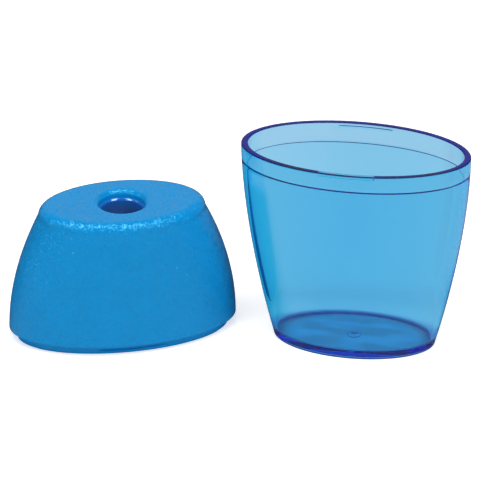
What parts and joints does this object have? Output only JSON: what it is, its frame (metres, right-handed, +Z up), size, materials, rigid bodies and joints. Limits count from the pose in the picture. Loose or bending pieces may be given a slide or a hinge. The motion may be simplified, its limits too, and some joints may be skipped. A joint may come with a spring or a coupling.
{
  "type": "pencil sharpener with shavings cup",
  "caption": "Hand-held oval pencil sharpener: a see-through shavings cup and a snap-fit lid that holds the sharpening insert and its blade, shown with the lid taken off beside the cup.",
  "frame": {"origin": "centre of the cup's base, on the surface that the cup stands on", "axes": "+X along the cup's oval, away from the lid; +Y to the back; +Z up"},
  "size_m": [0.0889, 0.0314, 0.041],
  "materials": {
    "cup_plastic": "glossy, see-through blue",
    "lid_plastic": "fine moulded grain, satin",
    "insert_plastic": "smooth moulded",
    "blade_steel": "ground steel",
    "screw_steel": "turned steel"
  },
  "bodies": {
    "cup": {"cup": "cup_plastic"},
    "lid": {"lid": "lid_plastic", "sharpener_block": "insert_plastic", "blade": "blade_steel", "blade_screw": "screw_steel"}
  },
  "joints": [
    {"name": "lid_lift", "type": "slide", "parent": "cup", "child": "lid", "axis": [0, 0, 1], "range_m": [0, 0.05]}
  ]
}
